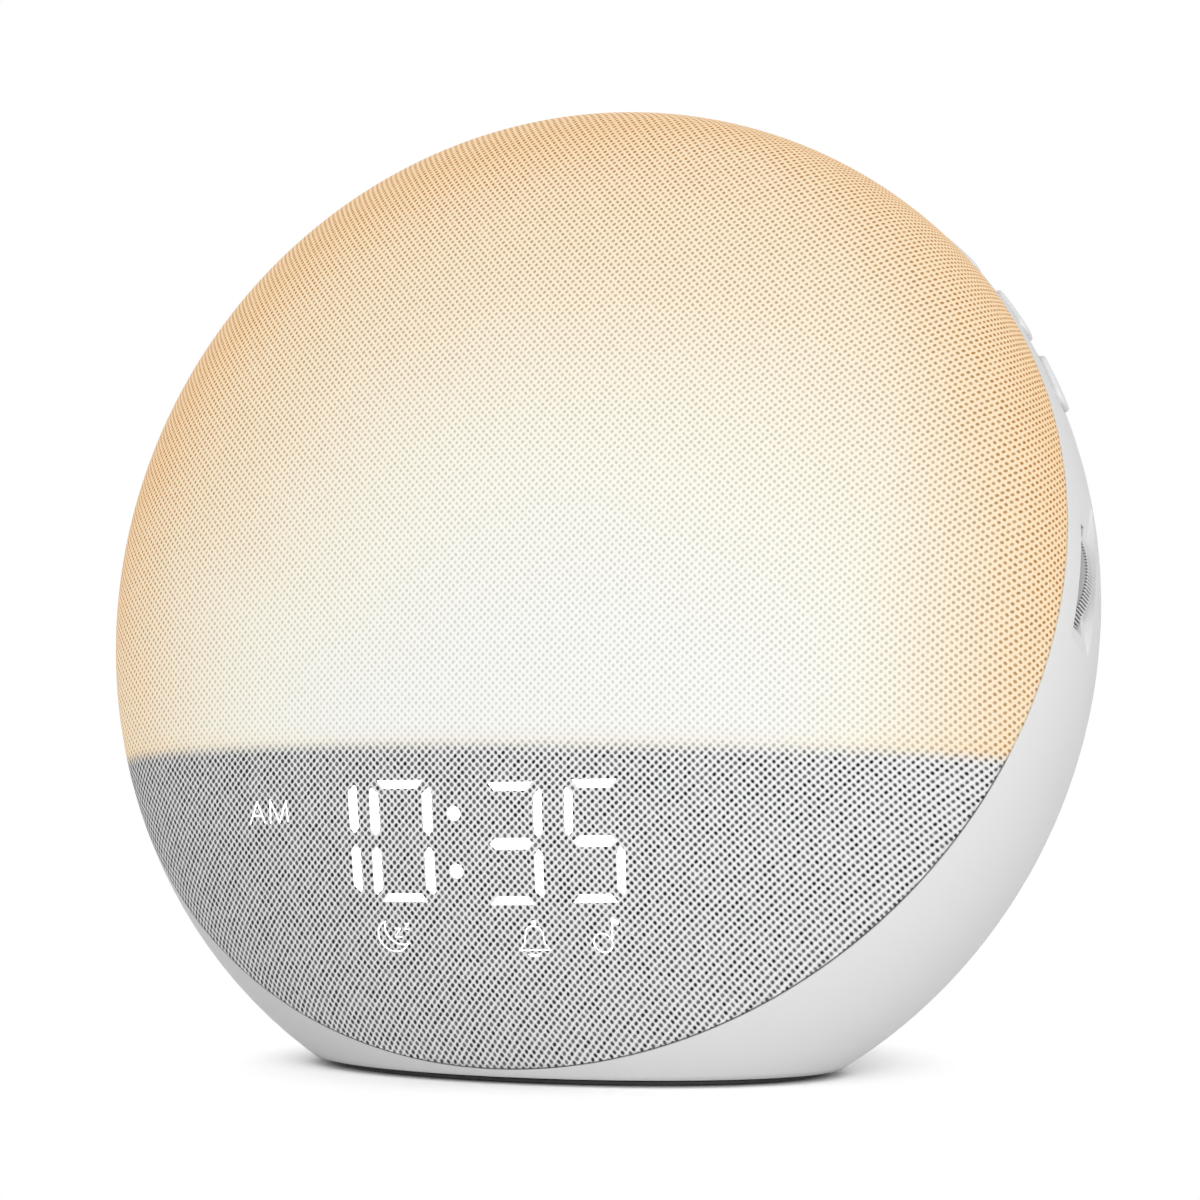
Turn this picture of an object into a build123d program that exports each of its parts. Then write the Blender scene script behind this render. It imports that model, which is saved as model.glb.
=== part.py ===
from build123d import *
import os
from math import cos, pi, radians, sin, sqrt

# Driving dimensions, in millimetres and degrees. The clock faces -Y and stands on Z = 0.
BODY_WIDTH = 170.0  # the round body, seen from the front
BODY_DEPTH = 110.0  # the same body along its short axis
BODY_LEAN = 10.83  # how far the short axis tips up
RIM_LEAN = 22.25  # how far the plane of the cloth's edge tips up
RIM_FORWARD = 9.44  # that plane in front of the body's middle
SHELL_LIFT = 1.2  # the shell's lower edge above the table
MIDDLE_HEIGHT = SHELL_LIFT + 71.07  # the body's middle above the table
WALL = 2.6  # every moulded outer wall
GROOVE = 0.5  # the shadow line between cloth and shell
CLOTH = 0.75
POLE_CUT = 0.01  # leaves a flat 2 mm across at each end of the short axis
FIT = 0.3  # the gap round a moving piece
HUGE = 400.0

# The edge between the lit part and the grey part of the front.
SHELF_FRONT = (-55.0, -18.27)  # Y, and Z from the body's middle
SHELF_DROP = 5.8
SHELF_THICK = 2.0
FRONT_TURN = 1.2  # how far the shelf and the display sit turned in the round body

# Mid-frame, as layers behind the rim plane.
FRAME_BACK, FRAME_FACE, FRAME_RIM = -4.5, -2.5, -0.15
FRAME_LAND = 9.0
FRAME_BOTTOM = 6.0

# Push buttons: angle round the body from the top, length along the rim.
BUTTON_ANGLES = {
    "button_upper": 41.2,
    "button_middle": 51.4,
    "button_lower": 61.4,
    "snooze_button": 0.0,
}
BUTTON_LENGTH, SNOOZE_LENGTH = 9.9, 34.0
BUTTON_DEPTH = 6.1
BUTTON_BEHIND = 8.4
BUTTON_PROUD = 0.85
BUTTON_CORNER = 2.4
BUTTON_TRAVEL = 0.7
SWITCH_TOP = 6.4 + BUTTON_TRAVEL + 0.1

# Thumbwheel.
WHEEL_RADIUS = 13.8
WHEEL_FRONT, WHEEL_BACK = -7.0, -10.0
WHEEL_RISE = 6.5
WHEEL_TEETH = 88
SHAFT_RADIUS = 3.0
DISH_DEPTH = 3.2
DISH_RADIUS = 77.0
DISH_RISE = 16.5
DISH_FRONT, DISH_BACK = -4.6, -12.2
SLOT_LOW, SLOT_HIGH = -1.6, 16.9

# Display: the left and right bars of each digit, and the rows, from the body's middle.
DIGITS = ((-27.3, -17.0), (-13.1, -3.4), (6.05, 14.9), (19.7, 27.7))
DIGIT_MIDDLE, DIGIT_HALF = -33.35, 8.4
DIGIT_LEAN = 4.0
BAR = 1.6
COLON_X, COLON_SPREAD = 1.0, 4.5
HALF_DAY_X, HALF_DAY_ROWS = -34.0, (-29.0, -36.2)
SYMBOLS = ((-12.2, -48.2), (12.2, -48.2), (23.6, -47.6))
DISPLAY_BACK = -34.0
DISPLAY_MIDDLE, DISPLAY_SIZE = (-3.8, -37.9), (74.0, 30.0)

# Speaker, boards and screws.
SPEAKER_DROP = -8.0
SPEAKER_RADIUS = 29.0
SPEAKER_SEAT = -46.0
BOARD = 1.6
BOARD_SIZE, BOARD_MIDDLE = (76.0, 58.0), (0.0, 22.0)
BOARD_BACK = -9.6
SCREW_WELLS = ((-48.0, 38.0), (48.0, 38.0), (-46.0, -36.0), (46.0, -36.0))
WELL_JOINT = -16.0
BASE_MIDDLE = -7.9
BASE_LUGS = ((-29.0, -8.0), (29.0, -8.0), (-14.0, 6.5), (14.0, 6.5))
PLATE_BOTTOM, FLANGE_TOP, PLATE_TOP = 0.35, 0.8, 2.7
LUG_BOTTOM, LUG_TOP = 5.0, 12.5
FOOT_GROOVE = 1.5
SOCKET_DROP = -52.5
SOCKET_FACE = 32.5


def facing(lean, forward):
    """A plane that looks out of the front, tipped up by lean, forward of the body's middle."""
    normal = Vector(0, -cos(radians(lean)), sin(radians(lean)))
    return Plane(Vector(0, 0, MIDDLE_HEIGHT) + normal * forward, x_dir=(1, 0, 0), z_dir=normal)


BODY = facing(BODY_LEAN, 0)
RIM = facing(RIM_LEAN, RIM_FORWARD)
UPRIGHT = Plane((0, DISPLAY_BACK, MIDDLE_HEIGHT), x_dir=(1, 0, 0), z_dir=(0, -1, 0))
FACE = UPRIGHT * Rot(0, 0, FRONT_TURN)
LEVEL = Plane((0, SHELF_FRONT[0], MIDDLE_HEIGHT + SHELF_FRONT[1]))
SHELF = LEVEL * Rot(0, -FRONT_TURN, 0) * Rot(-SHELF_DROP, 0, 0)


def spheroid(inset):
    """The round body, shrunk by inset on every side."""
    radius, half = BODY_WIDTH / 2 - inset, BODY_DEPTH / 2 - inset
    outline = Ellipse(radius, half) & Pos(radius, 0) * Rectangle(2 * radius, 2 * half - POLE_CUT)
    return BODY * revolve(Plane.XZ * outline, Axis.Z)


def skin(outer, inner):
    return spheroid(outer) - spheroid(inner)


def layer(plane, back, front):
    """Everything between two depths of a plane."""
    return plane * Pos(0, 0, (back + front) / 2) * Box(HUGE, HUGE, front - back)


def above(height):
    return layer(Plane.XY, height, height + HUGE)


def rod(plane, x, y, start, end, radius):
    return plane * Pos(x, y, (start + end) / 2) * Cylinder(radius, abs(end - start))


def block(plane, x, y, start, end, width, height):
    return plane * Pos(x, y, (start + end) / 2) * Box(width, height, abs(end - start))


def screw(plane, x, y, seat, radius, length):
    """A pan-head screw whose head rests at seat and whose shank runs along +Z of the plane."""
    head = rod(plane, x, y, seat - 1.2 * radius, seat, 1.8 * radius)
    drive = rod(plane, x, y, seat - 1.2 * radius, seat - 0.5 * radius, 0.7 * radius)
    return head - drive + rod(plane, x, y, seat, seat + length, radius)


def button_seat(angle):
    """The plane on the body's surface under a button, with Z out along the surface's normal."""
    radius, half = BODY_WIDTH / 2, BODY_DEPTH / 2
    lean = radians(RIM_LEAN - BODY_LEAN)
    depth = 0.0
    for _ in range(30):
        across = radius * sqrt(1 - (depth / half) ** 2)
        rise = across * cos(radians(angle))
        depth = (RIM_FORWARD - BUTTON_BEHIND - sin(lean) * rise) / cos(lean)
    point = Vector(across * sin(radians(angle)), rise, depth)
    normal = Vector(point.X / radius**2, point.Y / radius**2, point.Z / half**2)
    out = BODY.from_local_coords(point + normal.normalized()) - BODY.from_local_coords(point)
    return Plane(BODY.from_local_coords(point), x_dir=RIM.z_dir.cross(out), z_dir=out)


SEATS = {name: button_seat(angle) for name, angle in BUTTON_ANGLES.items()}
WHEEL_X = BODY_WIDTH / 2 - 0.1 - WHEEL_RADIUS


def button_length(name):
    return SNOOZE_LENGTH if name == "snooze_button" else BUTTON_LENGTH


def button_prism(name, grow, low, high):
    length, depth = button_length(name) + 2 * grow, BUTTON_DEPTH + 2 * grow
    outline = RectangleRounded(length, depth, BUTTON_CORNER + grow)
    return SEATS[name] * Pos(0, 0, low) * extrude(outline, high - low)


def make_button(name):
    """A cap that stands proud of the shell, its retaining flange and its push rod."""
    cap = button_prism(name, 0, -7, 4) & skin(-BUTTON_PROUD, WALL + 1.5)
    seat_face = cap.faces().sort_by(Axis(SEATS[name].origin, SEATS[name].z_dir))[-1]
    cap = fillet(seat_face.edges(), 0.5)
    flange = button_prism(name, 1.2, -8, 0) & skin(WALL + 0.5, WALL + 1.5)
    return cap + flange + rod(SEATS[name], 0, 0, -WALL - 1.2, -6.4, 1.6)


def wheel_outline():
    """The knurled edge of the thumbwheel."""
    step = 2 * pi / WHEEL_TEETH
    shape = ((0.0, -0.6), (0.2, 0.0), (0.6, 0.0), (0.8, -0.6))
    points = []
    for tooth in range(WHEEL_TEETH):
        for part, depth in shape:
            turn, radius = (tooth + part) * step, WHEEL_RADIUS + depth
            points.append((radius * cos(turn), radius * sin(turn)))
    return make_face(Polyline(*points, close=True))


def make_wheel():
    thick = WHEEL_FRONT - WHEEL_BACK
    place = RIM * Pos(WHEEL_X, WHEEL_RISE, WHEEL_BACK)
    wheel = extrude(wheel_outline(), thick)
    dish = Pos(0, 0, thick - 0.5) * (Cylinder(WHEEL_RADIUS - 2, 1) - Cylinder(5, 1))
    wheel -= dish + Pos(0, 0, 0.5) * (Cylinder(WHEEL_RADIUS - 2, 1) - Cylinder(5, 1))
    return place * (wheel - Pos(0, 0, thick / 2) * Cylinder(SHAFT_RADIUS, 2 * thick))


def make_rear_shell():
    shell = skin(0, WALL) & layer(RIM, -HUGE, -GROOVE / 2) & above(SHELL_LIFT)
    inside = spheroid(WALL / 2) & layer(RIM, -HUGE, FRAME_BACK) & above(LUG_BOTTOM)

    # Lugs for the base plate, screw wells and the ring that carries the speaker.
    for x, y in BASE_LUGS:
        lug = rod(Plane.XY, x, y, LUG_BOTTOM, LUG_TOP, 4)
        reach = (1, 0) if abs(x) > abs(y) * 3 else (0, 1)
        side = 1 if x > 0 else -1
        middle = Pos(x + side * 12 * reach[0], y + 12 * reach[1], (LUG_BOTTOM + LUG_TOP) / 2)
        lug += middle * Box(8 + 20 * reach[0], 8 + 20 * reach[1], LUG_TOP - LUG_BOTTOM)
        shell += (lug & inside) - rod(Plane.XY, x, y, LUG_BOTTOM, LUG_TOP - 1, 1.35)
    for x, y in SCREW_WELLS:
        shell += rod(RIM, x, y, WELL_JOINT, -90, 4.4) & inside
    speaker_ring = rod(BODY, 0, SPEAKER_DROP, SPEAKER_SEAT, -60, SPEAKER_RADIUS)
    speaker_ring -= rod(BODY, 0, SPEAKER_DROP, SPEAKER_SEAT + 1, -61, SPEAKER_RADIUS - 3)
    shell += speaker_ring & inside
    for x, y in SCREW_WELLS:
        shell -= rod(RIM, x, y, WELL_JOINT - 2.5, -90, 3.2)
        shell -= rod(RIM, x, y, WELL_JOINT + 1, WELL_JOINT - 3, 1.7)

    # Sound holes in rings, inside the speaker ring.
    for ring in range(4):
        for hole in range(max(1, 6 * ring)):
            turn = 2 * pi * hole / max(1, 6 * ring)
            x, y = 6.0 * ring * cos(turn), 6.0 * ring * sin(turn) + SPEAKER_DROP
            shell -= rod(BODY, x, y, SPEAKER_SEAT, -60, 1.4)

    # The power socket's recess, low on the back.
    back = Plane((0, 0, MIDDLE_HEIGHT + SOCKET_DROP), x_dir=(-1, 0, 0), z_dir=(0, 1, 0))
    shell += block(back, 0, 0, SOCKET_FACE - 3, 50, 18, 12) & spheroid(0.4)
    recess = back * Pos(0, 0, SOCKET_FACE) * extrude(RectangleRounded(14, 8, 2.5), 20)
    throat = back * Pos(0, 0, SOCKET_FACE - 5) * extrude(RectangleRounded(9.3, 3.5, 1.7), 20)
    shell -= recess + throat

    # Slots for the buttons, and the dish and slot for the thumbwheel.
    for name in SEATS:
        shell -= button_prism(name, FIT, -9, 5)
    dish_x = BODY_WIDTH / 2 - DISH_DEPTH + DISH_RADIUS
    slot_middle = (SLOT_LOW + SLOT_HIGH) / 2
    shell += rod(RIM, WHEEL_X, WHEEL_RISE, DISH_FRONT - 0.4, DISH_BACK - 1.2, 20) & (
        block(RIM, 80, slot_middle + 0.9, DISH_FRONT - 0.4, DISH_BACK - 1.2, 8, 31) & skin(1, 4.6)
    )
    shell -= rod(RIM, dish_x, DISH_RISE, DISH_FRONT, DISH_BACK, DISH_RADIUS)
    slot_back = WHEEL_BACK - 0.4
    shell -= block(RIM, 80, slot_middle, DISH_FRONT - 0.6, slot_back, 30, SLOT_HIGH - SLOT_LOW)
    shell -= rod(RIM, WHEEL_X, WHEEL_RISE, DISH_FRONT - 0.6, slot_back, WHEEL_RADIUS + 0.6)
    return shell


def make_frame():
    """The moulded mid-frame: a plate with a raised land that the front and the back meet on."""
    keep = above(FRAME_BOTTOM)
    frame = spheroid(WALL + FIT) & layer(RIM, FRAME_BACK, FRAME_FACE) & keep
    frame += skin(WALL + FIT, FRAME_LAND) & layer(RIM, FRAME_FACE, FRAME_RIM) & keep
    for x, y in SCREW_WELLS:
        frame += rod(RIM, x, y, FRAME_BACK, WELL_JOINT, 4)
        frame -= rod(RIM, x, y, WELL_JOINT, WELL_JOINT + 9, 1.3)
    for x in (-1, 1):
        for y in (-1, 1):
            post_x = BOARD_MIDDLE[0] + x * (BOARD_SIZE[0] / 2 - 4)
            post_y = BOARD_MIDDLE[1] + y * (BOARD_SIZE[1] / 2 - 4)
            frame += rod(RIM, post_x, post_y, FRAME_BACK, BOARD_BACK + BOARD, 3)
            frame -= rod(RIM, post_x, post_y, FRAME_FACE - 0.5, BOARD_BACK + BOARD, 1.1)
    frame += rod(RIM, WHEEL_X, WHEEL_RISE, FRAME_BACK, WHEEL_FRONT + 0.4, 5)
    frame -= rod(RIM, WHEEL_X, WHEEL_RISE, FRAME_FACE + 1, WHEEL_FRONT, SHAFT_RADIUS + 0.05)
    for name in SEATS:
        frame -= button_prism(name, 2.2, -12, 2)
    return frame - block(RIM, 0, -32, FRAME_BACK - 1, FRAME_FACE + 1, 26, 9)


def make_reflector():
    """A white bowl round the lights, cut where it would meet the shelf."""
    floor, lip = 30.0, 68.0
    profile = Polyline(
        (0, FRAME_FACE), (floor + 1, FRAME_FACE), (lip, 17), (lip - 1.5, 17.6),
        (floor, FRAME_FACE + 1.5), (0, FRAME_FACE + 1.5), close=True,
    )
    bowl = RIM * Pos(0, 14, 0) * revolve(Plane.XZ * make_face(profile), Axis.Z)
    return bowl & spheroid(FRAME_LAND + 0.5) & layer(SHELF, 0.3, HUGE)


def light_spots(radius, count):
    turns = [2 * pi * i / count for i in range(count)]
    return [(radius * cos(turn), 14 + radius * sin(turn)) for turn in turns]


def make_leds(spots):
    base = FRAME_FACE + 1.5 + BOARD
    leds = [block(RIM, x, y, base, base + 0.8, 3, 3) for x, y in spots]
    return Compound(children=leds)


def display_bars(grow):
    """The outlines of every bar, dot and lamp of the display."""
    bars = []
    for left, right in DIGITS:
        middle, across = (left + right) / 2, right - left - BAR
        slip = sin(radians(DIGIT_LEAN)) * DIGIT_HALF
        for row in (-1, 0, 1):
            place = Pos(middle + row * slip, DIGIT_MIDDLE + row * DIGIT_HALF)
            bars.append(place * Rectangle(across - 0.5 + grow, BAR + grow))
        for x in (left, right):
            for row in (-0.5, 0.5):
                place = Pos(x + row * slip, DIGIT_MIDDLE + row * DIGIT_HALF)
                upright = Rectangle(BAR + grow, DIGIT_HALF - BAR + 0.4 + grow)
                bars.append(place * Rot(0, 0, -DIGIT_LEAN) * upright)
    for row in (-1, 1):
        bars.append(Pos(COLON_X, DIGIT_MIDDLE + row * COLON_SPREAD) * Circle(1.2 + grow / 2))
    for row in HALF_DAY_ROWS:
        bars.append(Pos(HALF_DAY_X, row) * Rectangle(8.6 + grow, 4 + grow))
    for x, y in SYMBOLS:
        bars.append(Pos(x, y) * Circle(2.8 + grow / 2))
    return bars


def display_prism(grow):
    outline = RectangleRounded(DISPLAY_SIZE[0] + grow, DISPLAY_SIZE[1] + grow, 3)
    return FACE * extrude(Pos(*DISPLAY_MIDDLE) * outline, 40)


def make_display_case():
    slots = [FACE * Pos(0, 0, -1) * extrude(bar, 41) for bar in display_bars(0.1)]
    return (display_prism(0) & spheroid(0.95)) - slots


def make_light_guides():
    body = spheroid(0.85)
    return Compound(children=[FACE * extrude(bar, 40) & body for bar in display_bars(0)])


def make_display_board():
    outline = Pos(*DISPLAY_MIDDLE) * Rectangle(DISPLAY_SIZE[0] + 2, DISPLAY_SIZE[1])
    return (FACE * Pos(0, 0, -BOARD) * extrude(outline, BOARD)) & spheroid(WALL + 1.4)


def make_front(low, high, window):
    """A part of the rigid dome under the cloth."""
    dome = skin(CLOTH + 0.05, CLOTH + 0.05 + WALL) & layer(RIM, FRAME_RIM, HUGE)
    dome = dome & layer(SHELF, low, high)
    return dome - display_prism(0.5) if window else dome


def make_shelf():
    inner = spheroid(CLOTH + 0.1 + WALL) & layer(RIM, FRAME_RIM, HUGE)
    return inner & layer(SHELF, -SHELF_THICK, 0)


def make_base_plate():
    flange = extrude(Ellipse(42.6, 27.3), FLANGE_TOP - PLATE_BOTTOM)
    plug = extrude(Ellipse(39.9, 25.4), PLATE_TOP - PLATE_BOTTOM)
    plate = Pos(0, BASE_MIDDLE, PLATE_BOTTOM) * (flange + plug)
    for x, y in BASE_LUGS:
        plate += rod(Plane.XY, x, y, PLATE_BOTTOM, LUG_BOTTOM, 4.2)
    plate -= foot_outline(FOOT_GROOVE, 0)
    for x, y in BASE_LUGS:
        plate -= rod(Plane.XY, x, y, 0, 3.4, 3.1) + rod(Plane.XY, x, y, 0, 6, 1.6)
    return plate


def foot_outline(top, bottom):
    ring = Ellipse(38.5, 24.1) - Ellipse(35, 20.6)
    foot = Pos(0, BASE_MIDDLE, bottom) * extrude(ring, top - bottom)
    return foot


def make_speaker_basket():
    seat, magnet = SPEAKER_SEAT, SPEAKER_SEAT + 14
    profile = Polyline(
        (SPEAKER_RADIUS, seat + 0.8), (SPEAKER_RADIUS, seat + 2), (25, seat + 2),
        (16, magnet), (0, magnet), (0, magnet - 1.2), (15, magnet - 1.2),
        (23.6, seat + 0.8), close=True,
    )
    basket = revolve(Plane.XZ * make_face(profile), Axis.Z)
    for turn in range(6):
        basket -= Rot(0, 0, 60 * turn) * Pos(20, 0, seat + 9) * Box(8, 7, 7)
    for x, y in speaker_screw_spots():
        basket -= rod(Plane.XY, x, y, seat, seat + 3, 1.1)
    return BODY * Pos(0, SPEAKER_DROP, 0) * basket


def speaker_screw_spots():
    return [(27.4 * cos(pi * (i + 0.5) / 2), 27.4 * sin(pi * (i + 0.5) / 2)) for i in range(4)]


def make_speaker_cone():
    seat = SPEAKER_SEAT + 0.8
    profile = Polyline(
        (23, seat + 0.2), (23, seat + 0.6), (22, seat + 0.6), (8, seat + 9), (0, seat + 9),
        (0, seat + 8.4), (7.8, seat + 8.4), (21.6, seat + 0.2), close=True,
    )
    return BODY * Pos(0, SPEAKER_DROP, 0) * revolve(Plane.XZ * make_face(profile), Axis.Z)


def make_speaker_gasket():
    ring = rod(BODY, 0, SPEAKER_DROP, SPEAKER_SEAT, SPEAKER_SEAT + 0.8, SPEAKER_RADIUS)
    return ring - rod(BODY, 0, SPEAKER_DROP, SPEAKER_SEAT - 1, SPEAKER_SEAT + 1, SPEAKER_RADIUS - 3)


def make_speaker_screws():
    back = BODY * Pos(0, SPEAKER_DROP, SPEAKER_SEAT + 2)
    heads = [back * Pos(x, y, 0.4) * Cylinder(1.5, 0.8) for x, y in speaker_screw_spots()]
    return Compound(children=heads)


def make_main_board():
    board = block(RIM, *BOARD_MIDDLE, BOARD_BACK, BOARD_BACK + BOARD, *BOARD_SIZE)
    for x, y in board_corners():
        board -= rod(RIM, x, y, BOARD_BACK - 1, BOARD_BACK + BOARD + 1, 1.4)
    return board


def board_corners():
    half_x, half_y = BOARD_SIZE[0] / 2 - 4, BOARD_SIZE[1] / 2 - 4
    return [(BOARD_MIDDLE[0] + x * half_x, BOARD_MIDDLE[1] + y * half_y) for x in (-1, 1) for y in (-1, 1)]


def make_board_screws():
    back = Plane(RIM.origin, x_dir=-RIM.x_dir, z_dir=RIM.z_dir)
    return Compound(children=[screw(back, -x, -y, BOARD_BACK, 1.0, 5) for x, y in board_corners()])


def make_chips():
    chips = [
        block(RIM, -12, 20, BOARD_BACK, BOARD_BACK - 1.2, 12, 12),
        block(RIM, 8, 32, BOARD_BACK, BOARD_BACK - 1.6, 8, 6),
        block(RIM, 0, -1, BOARD_BACK, BOARD_BACK - 5, 18, 5),
        block(RIM, -22, 40, BOARD_BACK, BOARD_BACK - 4, 8, 5),
        rod(RIM, -27, 6, BOARD_BACK, BOARD_BACK - 9, 4),
        rod(RIM, -17, 4, BOARD_BACK, BOARD_BACK - 7, 3),
    ]
    return Compound(children=chips)


def make_cell_holder():
    holder = rod(RIM, 20, 14, BOARD_BACK, BOARD_BACK - 4.2, 12)
    return holder - rod(RIM, 20, 14, BOARD_BACK - 0.8, BOARD_BACK - 5, 10.05)


def make_socket():
    back = Plane((0, 0, MIDDLE_HEIGHT + SOCKET_DROP), x_dir=(-1, 0, 0), z_dir=(0, 1, 0))
    outer = extrude(RectangleRounded(9.0, 3.2, 1.55), 7.3)
    hollow = Pos(0, 0, 1) * extrude(RectangleRounded(8.4, 2.6, 1.25), 8)
    tongue = Pos(0, 0, 4) * Box(6.7, 0.7, 6)
    return back * Pos(0, 0, SOCKET_FACE - 7.5) * (outer - hollow + tongue)


def make_socket_board():
    back = Plane((0, 0, MIDDLE_HEIGHT + SOCKET_DROP), x_dir=(-1, 0, 0), z_dir=(0, 1, 0))
    return back * Pos(0, -1.6 - BOARD / 2, SOCKET_FACE - 11) * Box(16, BOARD, 14)


def button_band(outer, inner, back, front):
    band = skin(outer, inner) & layer(RIM, back, front)
    return band & layer(BODY * Rot(-90, 0, 0), 32, HUGE)


def make_switches():
    switches = []
    for name, seat in SEATS.items():
        switches.append(block(seat, 0, 0, -SWITCH_TOP - 2.3, -SWITCH_TOP - 0.8, 4.5, 4.5))
        switches.append(rod(seat, 0, 0, -SWITCH_TOP - 0.8, -SWITCH_TOP, 1.2))
    return Compound(children=switches)


def make_encoder():
    body = block(RIM, WHEEL_X, WHEEL_RISE, WHEEL_BACK - 0.6, -17, 12, 13)
    return body - rod(RIM, WHEEL_X, WHEEL_RISE, WHEEL_BACK, -14.2, SHAFT_RADIUS + 0.05)


def make_encoder_bracket():
    leg = block(RIM, WHEEL_X - 16, WHEEL_RISE, FRAME_BACK, -18.6, 3, 13)
    arm = block(RIM, WHEEL_X - 6.5, WHEEL_RISE, -17, -18.6, 22, 13)
    return leg + arm


def make_shaft():
    return rod(RIM, WHEEL_X, WHEEL_RISE, FRAME_FACE + 0.3, -14, SHAFT_RADIUS)


def make_cable():
    """A flat cable from the display board through the frame to the main board."""
    path = Polyline((-32.3, 44.9), (-6.0, 44.9), (0.4, 50.0), (1.0, 67.8))
    strip = extrude(Plane.YZ * trace(path, 0.6), 7, both=True)
    return strip


SHELL_SCREWS = [screw(RIM, x, y, WELL_JOINT - 2.5, 1.25, 9) for x, y in SCREW_WELLS]
BASE_SCREWS = [screw(Plane.XY, x, y, 3.4, 1.3, 7) for x, y in BASE_LUGS]

PARTS = {
    "rear_shell": make_rear_shell(),
    "base_plate": make_base_plate(),
    "rubber_foot": foot_outline(FOOT_GROOVE, 0),
    "base_screws": Compound(children=BASE_SCREWS),
    "shell_screws": Compound(children=SHELL_SCREWS),
    "mid_frame": make_frame(),
    "fabric_cover": skin(0, CLOTH) & layer(RIM, GROOVE / 2, HUGE),
    "light_diffuser": make_front(0, HUGE, False),
    "front_baffle": make_front(-HUGE, 0, True),
    "light_shelf": make_shelf(),
    "reflector": make_reflector(),
    "light_board": rod(RIM, 0, 14, FRAME_FACE + 1.5, FRAME_FACE + 1.5 + BOARD, 29),
    "warm_leds": make_leds(light_spots(23, 12)),
    "cool_leds": make_leds(light_spots(13, 8)),
    "display_case": make_display_case(),
    "display_guides": make_light_guides(),
    "display_board": make_display_board(),
    "display_cable": make_cable(),
    "main_board": make_main_board(),
    "main_board_chips": make_chips(),
    "board_screws": make_board_screws(),
    "cell_holder": make_cell_holder(),
    "coin_cell": rod(RIM, 20, 14, BOARD_BACK - 0.85, BOARD_BACK - 4.05, 10),
    "power_socket": make_socket(),
    "socket_board": make_socket_board(),
    "speaker_basket": make_speaker_basket(),
    "speaker_cone": make_speaker_cone(),
    "speaker_magnet": rod(BODY, 0, SPEAKER_DROP, SPEAKER_SEAT + 14, SPEAKER_SEAT + 24, 16),
    "speaker_gasket": make_speaker_gasket(),
    "speaker_screws": make_speaker_screws(),
    "button_carrier": button_band(10.8, 12.8, FRAME_BACK - 8, FRAME_BACK),
    "button_circuit": button_band(9.7, 10.8, FRAME_BACK - 8, FRAME_BACK - 0.5),
    "button_switches": make_switches(),
    "dial_wheel": make_wheel(),
    "dial_shaft": make_shaft(),
    "dial_encoder": make_encoder(),
    "encoder_bracket": make_encoder_bracket(),
}
for button in SEATS:
    PARTS[button] = make_button(button)

os.makedirs("parts", exist_ok=True)
for node, shape in PARTS.items():
    export_step(shape, f"parts/{node}.step")
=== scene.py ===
from math import cos, radians, sin

import bmesh
import bpy
from mathutils import Matrix, Vector
from mathutils.bvhtree import BVHTree


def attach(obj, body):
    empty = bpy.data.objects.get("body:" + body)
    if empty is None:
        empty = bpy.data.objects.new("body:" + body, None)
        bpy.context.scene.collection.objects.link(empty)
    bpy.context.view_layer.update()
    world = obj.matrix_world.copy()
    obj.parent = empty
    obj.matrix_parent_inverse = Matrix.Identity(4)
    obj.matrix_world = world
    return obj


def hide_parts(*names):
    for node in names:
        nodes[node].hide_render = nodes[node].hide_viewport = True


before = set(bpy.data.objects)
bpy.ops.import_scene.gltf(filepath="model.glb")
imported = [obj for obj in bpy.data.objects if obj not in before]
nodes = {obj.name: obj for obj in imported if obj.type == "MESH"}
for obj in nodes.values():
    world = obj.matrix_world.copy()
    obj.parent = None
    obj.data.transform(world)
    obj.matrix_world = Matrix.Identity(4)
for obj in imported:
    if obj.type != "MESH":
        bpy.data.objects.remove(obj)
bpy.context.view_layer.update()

# ---- Camera, table and studio light ----
# The clock stands on a plain pale table, seen from its right at the height of its middle.
# A big soft lamp hangs to the right of the camera, and the room is white all round.
camera = bpy.data.objects.new("camera", bpy.data.cameras.new("camera"))
bpy.context.scene.collection.objects.link(camera)
bpy.context.scene.camera = camera
sight_line = Vector((-0.42729, 0.90409, -0.006647))
camera.location = (0.34575, -0.73027, 0.08125)
camera.rotation_euler = sight_line.to_track_quat("-Z", "Y").to_euler()
camera.data.sensor_width = 36
camera.data.lens = 147.852
camera.data.clip_start = 0.01
bpy.context.scene.view_settings.view_transform = "Standard"


def add_node(tree, kind, inputs=(), **settings):
    """A shader node with its settings, and a value or a link for each named input."""
    node = tree.nodes.new("ShaderNode" + kind)
    for name, value in settings.items():
        setattr(node, name, value)
    for socket, value in dict(inputs).items():
        if isinstance(value, bpy.types.NodeSocket):
            tree.links.new(value, node.inputs[socket])
        else:
            node.inputs[socket].default_value = value
    return node


def new_material(name):
    material = bpy.data.materials.new(name)
    material.use_nodes = True
    tree = material.node_tree
    return material, tree, tree.nodes["Principled BSDF"]


def new_piece(name, mesh_source, material, smooth=True):
    """Turns a bmesh into an object of the scene, with its place in its mesh."""
    mesh = bpy.data.meshes.new(name)
    mesh_source.to_mesh(mesh)
    mesh_source.free()
    for face in mesh.polygons:
        face.use_smooth = smooth
    mesh.materials.append(material)
    piece = bpy.data.objects.new(name, mesh)
    bpy.context.scene.collection.objects.link(piece)
    return piece


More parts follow.
